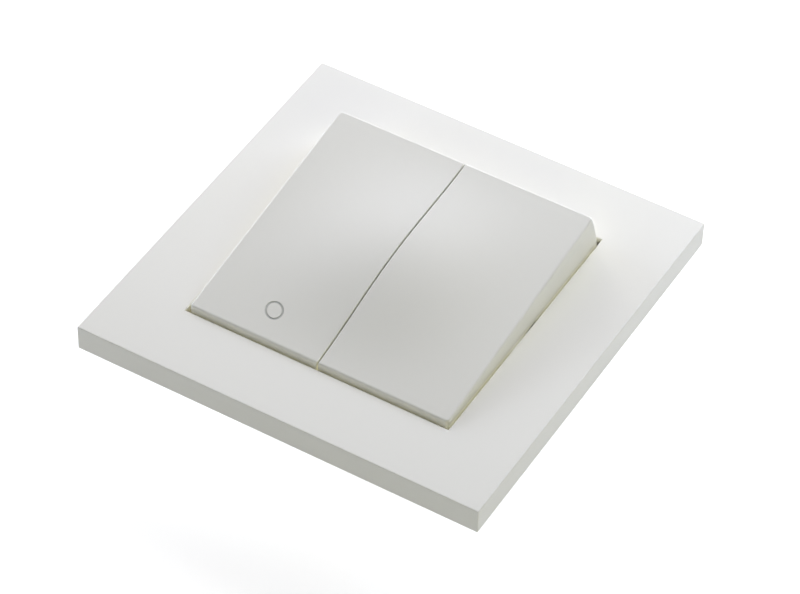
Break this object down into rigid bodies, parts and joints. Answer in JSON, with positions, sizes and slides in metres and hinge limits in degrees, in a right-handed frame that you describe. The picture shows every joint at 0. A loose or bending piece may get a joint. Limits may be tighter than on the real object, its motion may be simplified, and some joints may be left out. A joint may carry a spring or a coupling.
{
  "type": "two-gang rocker light switch",
  "caption": "Square flush wall switch with two side-by-side rockers in a flat cover frame, domed across the middle, with its mounting strap and contact insert behind.",
  "frame": {"origin": "on the wall plane, midway between the two box screw holes", "axes": "+Z out of the wall into the room, +Y up the wall, +X to the right seen from the room"},
  "size_m": [0.086, 0.086, 0.0337],
  "materials": {
    "white_frame": "satin moulded, very fine grain",
    "white_rocker": "satin gloss moulded",
    "polyamide_toggle": "moulded",
    "acetal_plunger": "moulded, smooth",
    "spring_steel": "drawn wire",
    "bright_steel": "bright drawn or plated",
    "zinc_plate": "pressed sheet, zinc plated",
    "white_carrier": "moulded",
    "grey_housing": "moulded, flame-retardant",
    "copper_alloy": "pressed strip",
    "silver_contact": "silver alloy, polished",
    "turned_brass": "milled and tapped"
  },
  "bodies": {
    "insert": {"cover_frame": "white_frame", "pivot_pin": "bright_steel", "mounting_strap": "zinc_plate", "rocker_carrier": "white_carrier", "strap_rivets": "zinc_plate", "mechanism_housing": "grey_housing", "housing_screws": "bright_steel", "common_busbar": "copper_alloy", "left_switched_strip": "copper_alloy", "right_switched_strip": "copper_alloy", "fixed_contacts": "silver_contact", "terminal_blocks": "turned_brass", "terminal_screws": "bright_steel"},
    "left_key": {"left_rocker": "white_rocker", "left_toggle": "polyamide_toggle", "left_spring": "spring_steel"},
    "left_detent": {"left_plunger": "acetal_plunger"},
    "left_contact": {"left_contact_lever": "copper_alloy", "left_lever_contact": "silver_contact"},
    "right_key": {"right_rocker": "white_rocker", "right_toggle": "polyamide_toggle", "right_spring": "spring_steel"},
    "right_detent": {"right_plunger": "acetal_plunger"},
    "right_contact": {"right_contact_lever": "copper_alloy", "right_lever_contact": "silver_contact"}
  },
  "joints": [
    {"name": "left_rocker_tilt", "type": "hinge", "parent": "insert", "child": "left_key", "pos_m": [-0.0115, 0, 0.001], "axis": [1, 0, 0], "range_deg": [-15.8, 0]},
    {"name": "left_plunger_slide", "type": "slide", "parent": "left_key", "child": "left_detent", "axis": [0, -0.1374, 0.9905], "range_m": [0, 0.0006], "stiffness_N_per_m": 400, "springref_m": -0.002, "deforming": ["left_spring"]},
    {"name": "left_lever_tilt", "type": "hinge", "parent": "insert", "child": "left_contact", "pos_m": [-0.0115, 0, -0.0138], "axis": [1, 0, 0], "range_deg": [0, 10]},
    {"name": "right_rocker_tilt", "type": "hinge", "parent": "insert", "child": "right_key", "pos_m": [0.0115, 0, 0.001], "axis": [1, 0, 0], "range_deg": [-15.8, 0]},
    {"name": "right_plunger_slide", "type": "slide", "parent": "right_key", "child": "right_detent", "axis": [0, -0.1374, 0.9905], "range_m": [0, 0.0006], "stiffness_N_per_m": 400, "springref_m": -0.002, "deforming": ["right_spring"]},
    {"name": "right_lever_tilt", "type": "hinge", "parent": "insert", "child": "right_contact", "pos_m": [0.0115, 0, -0.0138], "axis": [1, 0, 0], "range_deg": [0, 10]}
  ],
  "couplings": [
    {"joint": "left_lever_tilt", "follows": "left_rocker_tilt", "ratio": -0.6329},
    {"joint": "right_lever_tilt", "follows": "right_rocker_tilt", "ratio": -0.6329}
  ]
}
